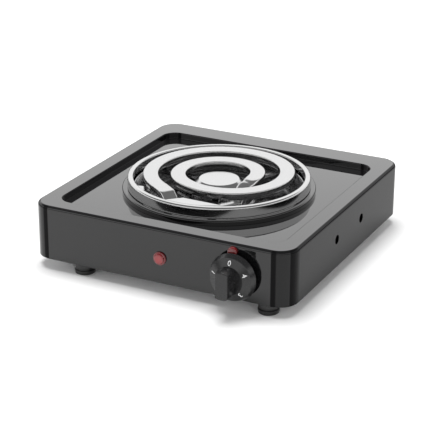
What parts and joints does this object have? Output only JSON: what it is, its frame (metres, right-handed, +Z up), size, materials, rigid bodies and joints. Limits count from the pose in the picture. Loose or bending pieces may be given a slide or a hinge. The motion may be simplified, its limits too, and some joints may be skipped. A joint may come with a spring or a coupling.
{
  "type": "single burner electric hot plate",
  "caption": "Table-top electric hot plate: square enamelled body, sunk top, tubular spiral heater in a bright ring, turn knob, red lamps and rubber feet.",
  "frame": {"origin": "on the table, under the middle of the whole box, knob and cord gland included", "axes": "+Z up, -Y towards the front panel with the knob, +X to the right seen from the front"},
  "size_m": [0.25, 0.2834, 0.0698],
  "materials": {
    "grey_enamel": "gloss stove enamel, dark grey",
    "black_enamel": "gloss black enamel",
    "chrome_sheet": "bright plated sheet",
    "bright_trim": "satin bright plating",
    "heater_tube": "satin bright tube",
    "zinc_sheet": "zinc plated steel",
    "ceramic": "unglazed steatite",
    "brass_parts": "stamped brass",
    "black_plastic": "phenolic, satin",
    "red_lens": "translucent red lens",
    "white_plastic": "white nylon",
    "foot_rubber": "black moulded rubber",
    "gland_rubber": "black moulded rubber",
    "wire_brown": "brown silicone sleeve",
    "wire_blue": "blue silicone sleeve",
    "wire_green": "green and yellow sleeve"
  },
  "bodies": {
    "base": {"top_housing": "grey_enamel", "base_plate": "zinc_sheet", "burner_seat": "black_enamel", "drip_pan": "chrome_sheet", "trim_ring": "bright_trim", "support_spider": "chrome_sheet", "heating_coil": "heater_tube", "centre_cap": "bright_trim", "hold_down_bolt": "zinc_sheet", "bridge_bar": "zinc_sheet", "bridge_nut": "zinc_sheet", "terminal_bracket": "chrome_sheet", "coil_end_insulators": "ceramic", "coil_terminal_pins": "zinc_sheet", "terminal_block": "ceramic", "terminal_screws": "brass_parts", "terminal_block_screws": "zinc_sheet", "thermostat_bracket": "zinc_sheet", "thermostat_body": "ceramic", "thermostat_screws": "zinc_sheet", "bimetal_strip": "zinc_sheet", "contact_leaves": "brass_parts", "thermostat_tabs": "brass_parts", "pilot_lens": "red_lens", "pilot_lamp_body": "white_plastic", "pilot_lamp_clip": "zinc_sheet", "index_lens": "red_lens", "index_lens_clip": "zinc_sheet", "foot_front_left": "foot_rubber", "foot_front_right": "foot_rubber", "foot_rear_left": "foot_rubber", "foot_rear_right": "foot_rubber", "foot_screws": "zinc_sheet", "base_screws": "zinc_sheet", "cord_gland": "gland_rubber", "cord_clamp": "white_plastic", "cord_clamp_screws": "zinc_sheet", "earth_stud": "zinc_sheet", "earth_nut": "brass_parts", "wire_live": "wire_brown", "wire_switched": "wire_brown", "wire_neutral": "wire_blue", "wire_earth": "wire_green", "wire_lamp_live": "wire_brown", "wire_lamp_neutral": "wire_blue"},
    "control_knob": {"knob": "black_plastic", "knob_spring_clip": "zinc_sheet", "thermostat_shaft": "zinc_sheet"},
    "setting_pin": {"setting_pin": "ceramic"}
  },
  "joints": [
    {"name": "knob_turn", "type": "hinge", "parent": "base", "child": "control_knob", "pos_m": [0.0755, -0.11435, 0.0325], "axis": [0, 1, 0], "range_deg": [0, 296]},
    {"name": "setting_pin_slide", "type": "slide", "parent": "base", "child": "setting_pin", "axis": [0, 1, 0], "range_m": [0, 0.00104]}
  ],
  "couplings": [
    {"joint": "setting_pin_slide", "follows": "knob_turn", "m_per_rad": 0.0002}
  ]
}
